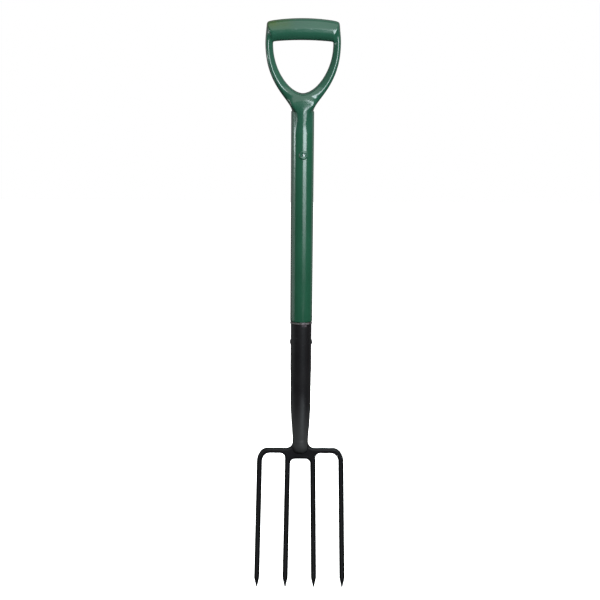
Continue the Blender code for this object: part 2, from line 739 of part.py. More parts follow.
def yoke_rows(crotch, tongue):
    """Rows between the crotch and the tongue: the front swells out to the tongue's."""
    rows = []
    for edge_share, height_share, ridge_swell, middle_swell in YOKE_ROWS:
        edge = arm_outer_edge(edge_share)
        middle_z = COLLAR_TOP_Z + YOKE_HEIGHT * height_share
        ridge_depth = crotch[2].y + (tongue[2].y - crotch[2].y) * ridge_swell
        middle_depth = crotch[4].y + (tongue[4].y - crotch[4].y) * middle_swell
        side_depth = (ridge_depth + middle_depth * 2) / 3
        ridge = Vector((edge[0] * 0.7, ridge_depth, edge[1] + (middle_z - edge[1]) * 0.3))
        middle = Vector((0, middle_depth, middle_z))
        rows.append(
            [
                Vector((edge[0], 0, edge[1])),
                Vector((edge[0] * 0.99, ridge_depth / 2, edge[1])),
                ridge,
                Vector((ridge.x / 2, side_depth, (ridge.z + middle_z) / 2)),
                middle,
            ]
        )
    return rows


def tongue_rows():
    """Rows of the tongue, which stands proud of the collar, narrows and sinks into it."""
    rows = []
    for i in range(TONGUE_ROWS):
        share = i / (TONGUE_ROWS - 1)
        z = COLLAR_TOP_Z + (TONGUE_END_Z - COLLAR_TOP_Z) * share
        proud = TONGUE_PROUD * (1 - share) - TONGUE_SINK * share
        front = COLLAR_RADIUS + proud
        narrowing = (TONGUE_HALF_ANGLE - TONGUE_END_HALF_ANGLE) * share**0.8
        ridge_x = COLLAR_RADIUS * math.sin(TONGUE_HALF_ANGLE - narrowing)
        flank_x = ridge_x + TONGUE_FLANK * (1 - share / 2)
        flank_depth = math.sqrt(COLLAR_RADIUS**2 - flank_x**2) - TONGUE_FLANK
        side_x = COLLAR_RADIUS - TONGUE_SINK - TONGUE_FLANK * share
        rows.append(
            [
                Vector((side_x, 0, z)),
                Vector((flank_x, -flank_depth, z)),
                Vector((ridge_x, -math.sqrt(front**2 - ridge_x**2), z)),
                Vector((ridge_x / 2, -math.sqrt(front**2 - ridge_x**2 / 4), z)),
                Vector((0, -front, z)),
            ]
        )
    return rows


def handle_cage(collection, material):
    """Front right quarter of the D, with both mirrors and a subdivision surface."""
    bar = grip_rows()
    arm = arm_rows()
    tongue = tongue_rows()
    rows = bar + arm + yoke_rows(arm[-1], tongue[0]) + tongue
    ridge = ARM_SECTION.index(max(ARM_SECTION, key=lambda place: place[1]))
    bm = bmesh.new()
    crease = bm.edges.layers.float.new("crease_edge")
    grid = [[bm.verts.new(point) for point in row] for row in rows]
    for upper, lower in zip(grid, grid[1:]):
        for column in range(min(len(upper), len(lower)) - 1):
            bm.faces.new((upper[column], lower[column], lower[column + 1], upper[column + 1]))
    for upper, lower in zip(grid[len(bar) - 1 :], grid[len(bar) :]):
        bm.edges.get((upper[ridge], lower[ridge]))[crease] = RIDGE_CREASE
    last = grid[-1]
    heart = bm.verts.new((0, 0, last[0].co.z))
    bm.faces.new((last[0], heart, last[2], last[1]))
    bm.faces.new((last[2], heart, last[4], last[3]))
    bmesh.ops.recalc_face_normals(bm, faces=bm.faces)
    mesh = bpy.data.meshes.new("handle_moulding")
    bm.to_mesh(mesh)
    bm.free()
    mesh.shade_smooth()
    obj = new_object("handle_moulding", mesh, collection, material)
    mirror = obj.modifiers.new("Other quarters", "MIRROR")
    mirror.use_axis = (True, True, False)
    mirror.merge_threshold = MERGE
    smooth = obj.modifiers.new("Smooth", "SUBSURF")
    smooth.levels = 1
    smooth.render_levels = 1
    return obj


def collar_blank(helpers):
    """Collar and spigot as one solid turning, before the groove for the tube is cut."""
    outside = rounded_path(
        [
            (0, COLLAR_TOP_Z, 0),
            (COLLAR_RADIUS, COLLAR_TOP_Z, COLLAR_SHOULDER),
            (COLLAR_RADIUS, COLLAR_BOTTOM_Z, 0),
            (SPIGOT_RADIUS, COLLAR_BOTTOM_Z, 0),
            (SPIGOT_RADIUS, SPIGOT_BOTTOM_Z + SPIGOT_LEAD, 0),
            (SPIGOT_RADIUS - SPIGOT_LEAD / 2, SPIGOT_BOTTOM_Z, 0),
            (0, SPIGOT_BOTTOM_Z, 0),
        ]
    )
    return turned("collar_blank", outside, helpers, closed=False)


def collar_groove(helpers):
    """Ring-shaped space for the top of the tube."""
    low = COLLAR_BOTTOM_Z - COLLAR_ROOF
    inner = SPIGOT_RADIUS
    outer = TUBE_RADIUS + GAP
    profile = [(outer, GROOVE_TOP_Z), (outer, low), (inner, low), (inner, GROOVE_TOP_Z)]
    return turned("collar_groove", profile, helpers)


def spigot_bore(helpers):
    low = SPIGOT_BOTTOM_Z - COLLAR_ROOF
    profile = [(0, GROOVE_TOP_Z), (SPIGOT_BORE, GROOVE_TOP_Z), (SPIGOT_BORE, low), (0, low)]
    return turned("spigot_bore", profile, helpers, closed=False)


def handle_moulding(collection, helpers, rivet_hole, material):
    obj = handle_cage(collection, material)
    boolean(obj, collar_blank(helpers), "UNION")
    boolean(obj, collar_groove(helpers), "DIFFERENCE")
    boolean(obj, spigot_bore(helpers), "DIFFERENCE")
    boolean(obj, rivet_hole, "DIFFERENCE")
    return obj


def main():
    clear_scene()
    parts = new_collection("border_fork")
    helpers = new_collection("cutters")
    green_plastic = finish("green_plastic", (0.018, 0.102, 0.058), 0.35, 0.0)
    cover_plastic = finish("cover_plastic", (0.018, 0.095, 0.053), 0.33, 0.0)
    green_paint = finish("green_paint", (0.025, 0.115, 0.068), 0.4, 0.0)
    black_paint = finish("black_paint", (0.013, 0.013, 0.014), 0.45, 0.0)
    socket_paint = finish("socket_paint", (0.015, 0.015, 0.017), 0.42, 0.0)
    weld_paint = finish("weld_paint", (0.013, 0.013, 0.014), 0.5, 0.0)
    bare_steel = finish("bare_steel", (0.45, 0.45, 0.46), 0.4, 1.0)
    cross_hole = socket_rivet_hole(helpers)
    blind_hole = handle_rivet_hole(helpers)
    fork_head(parts, helpers, black_paint)
    socket(parts, cross_hole, socket_paint)
    neck_weld(parts, weld_paint)
    socket_rivet(parts, black_paint.copy())
    shaft_tube(parts, (cross_hole, blind_hole), bare_steel)
    shaft_cover(parts, blind_hole, cover_plastic)
    handle_moulding(parts, helpers, blind_hole, green_plastic)
    handle_rivet(parts, green_paint)
    handle_rivet_stem(parts, bare_steel.copy())


main()
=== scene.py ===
"""Looks of the border fork: green plastic, black painted steel and studio light."""

import math

import bmesh
import bpy
from mathutils import Matrix, Vector, noise


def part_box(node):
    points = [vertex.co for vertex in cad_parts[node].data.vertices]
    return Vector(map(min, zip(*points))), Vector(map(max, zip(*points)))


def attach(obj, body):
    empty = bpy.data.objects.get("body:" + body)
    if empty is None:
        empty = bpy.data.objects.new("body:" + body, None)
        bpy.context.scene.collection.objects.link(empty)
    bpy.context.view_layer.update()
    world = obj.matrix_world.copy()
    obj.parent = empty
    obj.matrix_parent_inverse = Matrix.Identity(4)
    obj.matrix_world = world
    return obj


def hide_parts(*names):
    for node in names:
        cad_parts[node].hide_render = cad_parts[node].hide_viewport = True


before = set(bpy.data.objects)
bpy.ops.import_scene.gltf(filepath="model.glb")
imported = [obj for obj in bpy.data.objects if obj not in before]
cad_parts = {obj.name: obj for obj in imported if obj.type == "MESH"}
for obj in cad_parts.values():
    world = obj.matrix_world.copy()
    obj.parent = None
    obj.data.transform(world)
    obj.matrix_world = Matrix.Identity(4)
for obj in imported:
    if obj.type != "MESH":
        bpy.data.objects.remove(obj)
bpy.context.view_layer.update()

# Lengths are in metres all through. Points closer than MERGE become one, pieces that touch lie GAP
# apart, and a drill for a rivet's hole reaches CUT_REACH radii out
BODY = "root"
MERGE = 0.00001
GAP = 0.0003
CUT_REACH = 1.5

# The photograph's camera: place in metres, angles in degrees, lens and sensor width in mm
CAMERA_PLACE = (-0.0021, -3.0, 0.9357)
CAMERA_LOOKS_DOWN = 8.864
CAMERA_ROLL = 0.41
CAMERA_LENS = 114.685
CAMERA_SENSOR = 36
CAMERA_CLIP_END = 50

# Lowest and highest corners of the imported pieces
HEAD_LOW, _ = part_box("fork_head")
WELD_LOW, WELD_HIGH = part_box("neck_weld")
_, SOCKET_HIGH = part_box("socket")
_, TUBE_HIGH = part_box("shaft_tube")
COVER_LOW, COVER_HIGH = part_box("shaft_cover")
HANDLE_LOW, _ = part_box("handle_moulding")
CROSS_RIVET_LOW, CROSS_RIVET_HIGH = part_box("socket_rivet")
FLANGE_LOW, FLANGE_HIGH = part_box("handle_rivet")

# Socket, neck and weld
SOCKET_WALL = 0.00195
SOCKET_DRAFT = 0.0004
SOCKET_DRAFT_LENGTH = 0.0410
SOCKET_SEAT_LENGTH = 0.0925
NECK_RADIUS = 0.0123
NECK_FALL = 1.35
WELD_HALF_HEIGHT = 0.0019
WELD_TOE = 0.0012
WELD_SWELL = 0.00022
WELD_SINK = 0.00008
RIM_HEIGHT = 0.0026
RIM_FLARE = 0.0010
RIM_INNER_ROUND = 0.0005
RIM_TOP_ROUND = 0.0010
RIM_UNDER_ROUND = 0.0009
RIM_FOOT_ROUND = 0.0008
LIFT = 0.014
LIFT_CLEARANCE = 0.015
BOSS_LOW_Z = 0.2221

TUBE_RADIUS = TUBE_HIGH.x
RIM_TOP_Z = SOCKET_HIGH.z
RIM_LOW_Z = RIM_TOP_Z - RIM_HEIGHT
SOCKET_STRAIGHT_Z = RIM_TOP_Z - SOCKET_SEAT_LENGTH
NECK_START_Z = SOCKET_STRAIGHT_Z - SOCKET_DRAFT_LENGTH
NECK_Z = (WELD_LOW.z + WELD_HIGH.z) / 2
SOCKET_END_Z = NECK_Z + WELD_HALF_HEIGHT
SOCKET_INNER_RADIUS = TUBE_RADIUS + GAP
SOCKET_RADIUS = SOCKET_INNER_RADIUS + SOCKET_WALL
NECK_START_RADIUS = SOCKET_RADIUS - SOCKET_DRAFT
LIFT_TOP_Z = SOCKET_STRAIGHT_Z - LIFT_CLEARANCE

# Cover, collar and spigot
COVER_BOTTOM_WALL = 0.0029
COVER_END_ROUND = 0.0024
COVER_INNER_ROUND = 0.0004
COVER_TOP_RADIUS = COVER_HIGH.x
COVER_BOTTOM_RADIUS = TUBE_RADIUS + GAP + COVER_BOTTOM_WALL
COLLAR_LENGTH = 0.0335
COLLAR_SHOULDER = 0.0015
COLLAR_RADIUS = COVER_TOP_RADIUS
COLLAR_BOTTOM_Z = COVER_HIGH.z + GAP
COLLAR_TOP_Z = COLLAR_BOTTOM_Z + COLLAR_LENGTH
TUBE_WALL = 0.0015
SPIGOT_WALL = 0.004
SPIGOT_LEAD = 0.0025
SPIGOT_BOTTOM_Z = HANDLE_LOW.z
SPIGOT_RADIUS = TUBE_RADIUS - TUBE_WALL - GAP
GROOVE_TOP_Z = TUBE_HIGH.z + GAP

# Rivet through the socket
SOCKET_RIVET_Z = (CROSS_RIVET_LOW.z + CROSS_RIVET_HIGH.z) / 2
SOCKET_RIVET_SHANK = 0.0025
SOCKET_RIVET_HEAD = 0.0040

# Blind rivet: flange, the well in it, and the broken stem with its burr
HANDLE_RIVET_Z = (FLANGE_LOW.z + FLANGE_HIGH.z) / 2
HANDLE_RIVET_TURN = math.radians(5.5)
HANDLE_RIVET_SHANK = 0.0025
HANDLE_RIVET_FLANGE = 0.0075
HANDLE_RIVET_LIP = 0.0035
HANDLE_RIVET_RISE = 0.0019
FLANGE_EDGE_INSET = 0.0013
FLANGE_EDGE_DROP = 0.0003
FLANGE_EDGE_ROUND = 0.0012
FLANGE_SEAT_ROUND = 0.0003
WELL_FOOT_INSET = 0.0009
WELL_FOOT_ROUND = 0.0004
WELL_LIP_OUTSET = 0.0007
WELL_LIP_ROUND = 0.0007
STEM_RADIUS = 0.0011
STEM_RISE_SHARE = 0.6
STEM_DEPTH = 0.008
STEM_PEAK = 0.0002
STEM_EDGE_DROP = 0.0001
STEM_EDGE_ROUND = 0.0002
BURR_REACH = 0.0005
BURR_HEIGHT = 0.0002
BURR_SCALE = 2500

# The D: half width, arches, depth and the arms' sizes
HANDLE_HALF_WIDTH = 0.0592
YOKE_HEIGHT = 0.0278
OPENING_HEIGHT = 0.0826
GRIP_HEIGHT = 0.0331
GRIP_ARCH = 0.0050
GRIP_UNDER_ARCH = 0.0035
GRIP_DEPTH = 0.0305
GRIP_END_INSET = 0.0026
GRIP_CORNER = 0.005
ARM_TOP_WIDTH = 0.0125
ARM_DEPTH = 0.0200
ARM_START_DROP = 0.0014
WAIST_INSET = 0.0016
COLLAR_INSET = 0.0005
CROTCH_EDGE = 0.0018
TONGUE_PROUD = 0.0017
TONGUE_SINK = 0.0003
TONGUE_FADE = 1.35
TONGUE_NARROWING = 0.8
TONGUE_FLANK = 0.0022
TONGUE_STOP = 0.0008
TONGUE_HALF_ANGLE = math.radians(41)
TONGUE_END_HALF_ANGLE = math.radians(11.5)

CROTCH_Z = COLLAR_TOP_Z + YOKE_HEIGHT
GRIP_LOW_Z = CROTCH_Z + OPENING_HEIGHT
GRIP_TOP_Z = GRIP_LOW_Z + GRIP_HEIGHT
GRIP_END_LOW_Z = GRIP_LOW_Z - GRIP_UNDER_ARCH
ARM_START_Z = GRIP_END_LOW_Z - ARM_START_DROP
TONGUE_END_Z = COLLAR_BOTTOM_Z + TONGUE_STOP
GRIP_END_X = HANDLE_HALF_WIDTH - GRIP_END_INSET
ARM_INNER_X = HANDLE_HALF_WIDTH - ARM_TOP_WIDTH

# Columns of the handle's cage from its outer to its inner edge: share of the width, of the depth
GRIP_SECTION = ((-0.045, 0), (0.06, 0.63), (0.38, 0.98), (0.70, 1.03), (0.95, 0.60), (1.05, 0))
END_SECTION = ((-0.02, 0), (0.05, 0.60), (0.30, 1.0), (0.70, 0.95), (0.96, 0.58), (1.02, 0))
ARM_SECTION = ((0, 0), (0, 0.70), (0.36, 1.10), (0.66, 0.74), (0.97, 0.44), (1, 0))
CROTCH_SECTION = ((0, 0), (0, 0.62), (0.22, 0.98), (0.62, 1.05), (0.97, 0.74), (1, 0))

# Rows across the grip, as shares of its half width
GRIP_ROWS = (0, 0.28, 0.55, 0.80)

# Rows round the grip's end: inward and downward shift of the outer point and of the inner point
# in sizes of the corner, share of the grip's depth, section
CORNER_ROWS = (
    ((0.75, -0.04), (0.2, -0.12), 1.0, GRIP_SECTION),
    ((0.0, 0.24), (0.0, 0.04), 0.96, END_SECTION),
    ((-0.08, 1.4), (0, 0.28), 0.83, END_SECTION),
)

# The row where the grip's end becomes the arm: shifts in sizes of the corner, and share of the
# grip's depth
SHOULDER_INSET = 0.16
SHOULDER_RISE = 2
SHOULDER_DROP = 0.6
SHOULDER_DEPTH = 0.68

# Curves of the arm's edges: how high, and how far out, their middle control points lie
ARM_OUTER_LEAVE = 0.36
ARM_OUTER_ARRIVE = 0.145
ARM_INNER_BULGE = 1.01
ARM_INNER_LEAVE = 0.5
ARM_INNER_ARRIVE = 0.458

# Rows down the arm, and the changes to its last row, at the crotch
ARM_ROWS = 11
ARM_SWELL = 0.45
ARM_RIB_LEAN = 0.85
ARM_OUTER_SHARE = 0.68
ARM_FLAT_SHARE = 0.40
CROTCH_SIDE_SHARE = 0.75
CROTCH_FRONT_SHARE = 1.25

# Rows of the yoke: share of the arm's outer edge, share of the yoke's height, share of the way from
# the crotch's depth to the tongue's, and the ridge's depth as a share of the middle's
YOKE_ROWS = ((0.79, 0.86, 0.62, 1.03), (0.89, 0.5, 0.86, 1.02))
YOKE_FLANK = 0.99
YOKE_RIDGE = 0.92
YOKE_RIDGE_RISE = 0.3
YOKE_SIDE = 0.74
TONGUE_ROWS = 6

# Fineness of the visible meshes. The cover's rows of points end COVER_ROWS_END above its lower end
ROUND_STEPS = 128
RIVET_STEPS = 64
ARC_SEGMENTS = 8
DRAFT_ROWS = 12
NECK_ROWS = 32
WELD_ROWS = 16
COVER_ROWS = 24
COVER_ROWS_END = 0.02
HANDLE_LEVELS = 3
HEAD_VOXEL = 0.0005
HEAD_SMOOTHING = 2
HEAD_SMOOTHING_FACTOR = 0.5


def blend(t):
    """Smooth step from 0 to 1."""
    t = min(max(t, 0.0), 1.0)
    return t * t * (3 - 2 * t)


def new_object(name, data):
    obj = bpy.data.objects.new(name, data)
    bpy.context.scene.collection.objects.link(obj)
    return obj


def bake(obj):
    """Puts the evaluated mesh in place of the object's modifiers."""
    graph = bpy.context.evaluated_depsgraph_get()
    mesh = bpy.data.meshes.new_from_object(obj.evaluated_get(graph))
    obj.modifiers.clear()
    obj.data = mesh
    return obj


def shade(obj, degrees):
    """Smooth shading, with a sharp edge wherever two faces meet at more than this angle."""
    obj.data.shade_smooth()
    obj.data.set_sharp_from_angle(angle=math.radians(degrees))


def rounded_path(corners):
    """Points of an open path; each inner corner (x, z, radius) is rounded with an arc."""
    points = []
    last = len(corners) - 1
    for index, (x, z, radius) in enumerate(corners):
        corner = Vector((x, z))
        if radius == 0 or index in (0, last):
            points.append(corner)
            continue
        back = (Vector(corners[index - 1][:2]) - corner).normalized()
        ahead = (Vector(corners[index + 1][:2]) - corner).normalized()
        half_angle = back.angle(ahead) / 2
        centre = corner + (back + ahead).normalized() * radius / math.sin(half_angle)
        start = corner + back * radius / math.tan(half_angle) - centre
        end = corner + ahead * radius / math.tan(half_angle) - centre
        sweep = math.atan2(start.x * end.y - start.y * end.x, start.dot(end))
        for step in range(ARC_SEGMENTS + 1):
            points.append(centre + Matrix.Rotation(sweep * step / ARC_SEGMENTS, 2) @ start)
    return points


def turned(name, profile, closed=True, steps=ROUND_STEPS):
    """A profile of (radius, z) turned about Z. It runs down its outer side."""
    mesh = bpy.data.meshes.new(name)
    count = len(profile)
    edges = [(i, i + 1) for i in range(count - 1)]
    if closed:
        edges.append((count - 1, 0))
    mesh.from_pydata([(radius, 0, z) for radius, z in profile], edges, [])
    obj = new_object(name, mesh)
    screw = obj.modifiers.new("Turn", "SCREW")
    screw.steps = steps
    screw.render_steps = steps
    screw.use_merge_vertices = True
    screw.merge_threshold = MERGE
    return bake(obj)


def heights(start, end, count):
    """Heights from start to end in equal steps."""
    return [start + (end - start) * i / count for i in range(count + 1)]


def cut(obj, cutter, operation="DIFFERENCE"):
    """Cuts or joins with another object, which is then removed."""
    modifier = obj.modifiers.new("Cut", "BOOLEAN")
    modifier.operation = operation
    modifier.object = cutter
    bake(obj)
    bpy.data.objects.remove(cutter, do_unlink=True)


def cylinder(radius, start, end):
    """A round cutter between two points."""
    mesh = bpy.data.meshes.new("cutter")
    bm = bmesh.new()
    depth = (end - start).length
    bmesh.ops.create_cone(
        bm, cap_ends=True, segments=RIVET_STEPS, radius1=radius, radius2=radius, depth=depth
    )
    bm.to_mesh(mesh)
    bm.free()
    obj = new_object("cutter", mesh)
    turn = (end - start).to_track_quat("Z", "Y").to_matrix().to_4x4()
    mesh.transform(Matrix.Translation((start + end) / 2) @ turn)
    return obj


def dress(obj, node, material):
    """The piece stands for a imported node, rides on the body and takes its finish."""
    obj.data.materials.clear()
    obj.data.materials.append(material)
    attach(obj, BODY)
    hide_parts(node)


# Materials: colours, factors on or amounts added to a colour's channels, shares, how far grain is
# drawn out along each axis, and depths of texture in metres
# Painted warm reflection: olive on the top of the grip's left end
WARM_REFLECTION_OLIVE = (0.020, 0.058, 0.009, 1)
# Painted sheen: lighter grey on the neck and on the front of the boss
PAINTED_SHEEN_GREY = (0.036, 0.036, 0.035, 1)
# Painted highlight along the socket's rim, and below it a pinkish painted glint on the rim
PAINTED_RIM_HIGHLIGHT = (0.115, 0.105, 0.100, 1)
PAINTED_RIM_GLINT = (0.190, 0.150, 0.165, 1)
# Painted glint on the crowns of the cross rivet
PAINTED_CROWN_GLINT = (0.42, 0.42, 0.42, 1)
DUST_GREY = (0.085, 0.083, 0.086, 1)
# Painted shade: darker black on the head's chamfers than on its flats
PAINTED_CHAMFER_SHADE = (0.0025, 0.0025, 0.0027, 1)
DEEP_PLASTIC = (0.85, 0.87, 0.86)
PALE_PLASTIC = (0.03, 0.035, 0.03)
DEEP_PAINT = (0.7, 0.7, 0.72)
DULL_STEEL = (0.6, 0.6, 0.6)
PAINT_SPECULAR = 0.17
SCUFF_ROUGHNESS = 0.35
# Share of the painted sheen on the neck and the boss
PAINTED_SHEEN_SHARE = 0.7
# Share of the painted glint on the rivet's crowns
CROWN_GLINT_SHARE = 0.9
EVEN = (1, 1, 1)
COVER_STREAKS = (1, 1, 0.04)
TUBE_STREAKS = (1, 1, 0.02)
PEEL_DEPTH = 0.000008
MOULDED_DEPTH = 0.000002
DRAWN_DEPTH = 0.000004
PEBBLE_DEPTH = 0.00003
WAVE_DEPTH = 0.00008
STEEL_LINE_DEPTH = 0.00003
MOULD_LINE_HALF_WIDTH = 0.0001
MOULD_LINE_FADE = 0.0004
MOULD_LINE_HEIGHT = 0.00015

# Where painted light lies (warm reflection, sheen, highlight, glint and chamfer shade), from where
# it starts to where it is full
# Painted warm reflection on the grip's left end
WARM_REFLECTION_START_X = -0.010
WARM_REFLECTION_FULL_X = -0.045
WARM_REFLECTION_START_Z = GRIP_LOW_Z + 0.4 * GRIP_HEIGHT
WARM_REFLECTION_FULL_Z = GRIP_TOP_Z - 0.010
# Painted sheen: greyer from here down the neck
NECK_SHEEN_START_Z = NECK_START_Z + 0.003
NECK_SHEEN_FULL_Z = NECK_Z + 0.004
# Painted highlight along the rim
RIM_HIGHLIGHT_START_Z = RIM_LOW_Z - 0.0008
RIM_HIGHLIGHT_FULL_Z = RIM_LOW_Z + 0.0004
# Pinkish painted glint on the rim, right of the middle
RIM_GLINT_X = 0.0045
RIM_GLINT_HALF_WIDTH = 0.0015
RIM_GLINT_FADE = 0.0050
RIM_GLINT_START_Z = RIM_TOP_Z - 0.0075
RIM_GLINT_FULL_Z = RIM_TOP_Z - 0.0040
# Painted glints on the crowns of the cross rivet
CROWN_GLINT_START_X = CROSS_RIVET_HIGH.x - 0.0010
CROWN_GLINT_FULL_X = CROSS_RIVET_HIGH.x - 0.0002
# Painted sheen on the front of the boss
BOSS_SHEEN_START_Y = -0.0190
BOSS_SHEEN_FULL_Y = BOSS_SHEEN_START_Y - 0.0012
# Painted shade: the less a face of the head turns forward, the nearer its black is to the darker
# chamfer black
LIT_FRONT_START = 0.80
LIT_FRONT_FULL = 0.95


def node(tree, kind, values=None, **settings):
    """Adds a shader node; values are numbers, colours or sockets by input name or number."""
    made = tree.nodes.new(kind)
    for name, setting in settings.items():
        setattr(made, name, setting)
    for name, value in (values or {}).items():
        if isinstance(value, bpy.types.NodeSocket):
            tree.links.new(value, made.inputs[name])
        else:
            made.inputs[name].default_value = value
    return made


def new_material(name):
    """A material with one Principled shader."""
    material = bpy.data.materials.new(name)
    material.use_nodes = True
    tree = material.node_tree
    return material, tree, tree.nodes["Principled BSDF"]


def grain(tree, scale, detail, stretch=EVEN):
    """Noise from 0 to 1 in the part's own space; scale is in features per metre."""
    place = node(tree, "ShaderNodeTexCoord").outputs["Object"]
    spread = node(tree, "ShaderNodeMapping", {"Vector": place, "Scale": stretch})
    values = {"Vector": spread.outputs[0], "Scale": scale, "Detail": detail}
    return node(tree, "ShaderNodeTexNoise", values).outputs["Fac"]


def remap(tree, value, start, end, at_start=0, at_end=1):
    """Runs from at_start to at_end as the value runs from start to end, and stays there."""
    values = {"Value": value, 1: start, 2: end, 3: at_start, 4: at_end}
    return node(tree, "ShaderNodeMapRange", values, clamp=True).outputs[0]


def patches(tree, scale, detail, low, high, least=0, most=1, stretch=EVEN):
    """Soft patches: least where the noise is under low, and most where it is over high."""
    return remap(tree, grain(tree, scale, detail, stretch), low, high, least, most)


def maths(tree, operation, one, two=0.0):
    return node(tree, "ShaderNodeMath", {0: one, 1: two}, operation=operation).outputs[0]


def mix(tree, share, one, two):
    """Colour between one and two, through the node's colour sockets."""
    values = {"Factor": share, 6: one, 7: two}
    return node(tree, "ShaderNodeMix", values, data_type="RGBA").outputs[2]


def bump(tree, height, distance, under=None):
    values = {"Height": height, "Distance": distance}
    if under:
        values["Normal"] = under
    return node(tree, "ShaderNodeBump", values).outputs[0]


def place_axis(tree, axis):
    """The part's own x, y or z coordinate in metres."""
    place = node(tree, "ShaderNodeTexCoord").outputs["Object"]
    return node(tree, "ShaderNodeSeparateXYZ", {0: place}).outputs[axis]


def times(tint, shares):
    """A colour with each channel multiplied by its share."""
    return (*(channel * share for channel, share in zip(tint, shares)), 1)


def plus(tint, amounts):
    """A colour with an amount added to each channel."""
    return (*(channel + amount for channel, amount in zip(tint, amounts)), 1)


def painted_warm_reflection(tree):
    """Share of the painted warm reflection: olive on the top of the grip's left end."""
    left = remap(tree, place_axis(tree, "X"), WARM_REFLECTION_START_X, WARM_REFLECTION_FULL_X)
    upper = remap(tree, place_axis(tree, "Z"), WARM_REFLECTION_START_Z, WARM_REFLECTION_FULL_Z)
    patchy = patches(tree, scale=60, detail=4, low=0.3, high=0.6, least=0.6)
    return maths(tree, "MULTIPLY", maths(tree, "MULTIPLY", left, upper), patchy)


def green_plastic(name, tint, moulded, streaks):
    """Semi-gloss plastic: mottled colour, orange peel, scuffs, and a moulding's line and a patch of
    painted warm reflection.
    """
    material, tree, shader = new_material(name)
    clouds = patches(tree, scale=22, detail=4, low=0.35, high=0.65)
    colour = mix(tree, clouds, times(tint, DEEP_PLASTIC), (*tint, 1))
    if moulded:
        # painted warm reflection: olive on the top of the grip's left end
        colour = mix(tree, painted_warm_reflection(tree), colour, WARM_REFLECTION_OLIVE)
    scuffs = patches(tree, scale=90, detail=6, low=0.64, high=0.74, most=0.3, stretch=streaks)
    colour = mix(tree, scuffs, colour, plus(tint, PALE_PLASTIC))
    tree.links.new(colour, shader.inputs["Base Color"])
    polish = patches(tree, scale=45, detail=5, low=0.3, high=0.7, least=0.16, most=0.20)
    rough = maths(tree, "ADD", polish, maths(tree, "MULTIPLY", scuffs, SCUFF_ROUGHNESS))
    tree.links.new(rough, shader.inputs["Roughness"])
    peel = bump(tree, grain(tree, scale=300, detail=2), PEEL_DEPTH)
    depth = MOULDED_DEPTH if moulded else DRAWN_DEPTH
    surface = bump(tree, grain(tree, scale=700, detail=2, stretch=streaks), depth, under=peel)
    if moulded:
        off = maths(tree, "ABSOLUTE", place_axis(tree, "Y"))
        line = remap(tree, off, MOULD_LINE_HALF_WIDTH, MOULD_LINE_FADE, at_start=1, at_end=0)
        surface = bump(tree, line, MOULD_LINE_HEIGHT, under=surface)
    tree.links.new(surface, shader.inputs["Normal"])
    return material


def black_paint(name, tint, rough_low, rough_high, specks, painted_light):
    """Powder coat on steel: fine pebbled surface, pale specks, and painted light mixed into the
    colour.
    """
    material, tree, shader = new_material(name)
    shader.inputs["Specular IOR Level"].default_value = PAINT_SPECULAR
    clouds = patches(tree, scale=35, detail=5, low=0.35, high=0.65)
    colour = mix(tree, clouds, times(tint, DEEP_PAINT), (*tint, 1))
    dust = patches(tree, scale=900, detail=2, low=0.66, high=0.74, most=specks)
    # painted light from the given function: sheen, highlight, glint or shade mixed into the colour
    colour = painted_light(tree, mix(tree, dust, colour, DUST_GREY))
    tree.links.new(colour, shader.inputs["Base Color"])
    rough = patches(
        tree, scale=60, detail=6, low=0.3, high=0.7, least=rough_low, most=rough_high
    )
    tree.links.new(rough, shader.inputs["Roughness"])
    pebbles = bump(tree, grain(tree, scale=650, detail=3), PEBBLE_DEPTH)
    waves = bump(tree, grain(tree, scale=110, detail=3), WAVE_DEPTH, under=pebbles)
    tree.links.new(waves, shader.inputs["Normal"])
    return material


def steel(name, tint, streaks):
    """Bare steel with drawn lines along it."""
    material, tree, shader = new_material(name)
    shader.inputs["Metallic"].default_value = 1
    lines = grain(tree, scale=900, detail=4, stretch=streaks)
    colour = mix(tree, lines, times(tint, DULL_STEEL), (*tint, 1))
    tree.links.new(colour, shader.inputs["Base Color"])
    rough = remap(tree, lines, start=0.2, end=0.8, at_start=0.28, at_end=0.45)
    tree.links.new(rough, shader.inputs["Roughness"])
    tree.links.new(bump(tree, lines, STEEL_LINE_DEPTH), shader.inputs["Normal"])
    return material


def neck_and_rim_painted_light(tree, colour):
    """Painted sheen greying the paint from the neck down, a painted highlight along the rim in
    patches, and a pinkish painted glint on it.
    """
    height = place_axis(tree, "Z")
    # painted sheen: greyer paint from the neck down
    neck = remap(tree, height, NECK_SHEEN_START_Z, NECK_SHEEN_FULL_Z, at_end=PAINTED_SHEEN_SHARE)
    colour = mix(tree, neck, colour, PAINTED_SHEEN_GREY)
    # painted highlight along the rim, in patches
    rim = remap(tree, height, RIM_HIGHLIGHT_START_Z, RIM_HIGHLIGHT_FULL_Z)
    highlight_patches = patches(tree, scale=120, detail=4, low=0.40, high=0.60, least=0.15, most=0.8)
    colour = mix(tree, maths(tree, "MULTIPLY", rim, highlight_patches), colour, PAINTED_RIM_HIGHLIGHT)
    # pinkish painted glint on the rim, right of the middle
    aside = maths(tree, "ABSOLUTE", maths(tree, "SUBTRACT", place_axis(tree, "X"), RIM_GLINT_X))
    near = remap(tree, aside, RIM_GLINT_HALF_WIDTH, RIM_GLINT_FADE, at_start=1, at_end=0)
    level = remap(tree, height, RIM_GLINT_START_Z, RIM_GLINT_FULL_Z)
    rim_glint = maths(tree, "MULTIPLY", maths(tree, "MULTIPLY", near, level), highlight_patches)
    return mix(tree, rim_glint, colour, PAINTED_RIM_GLINT)


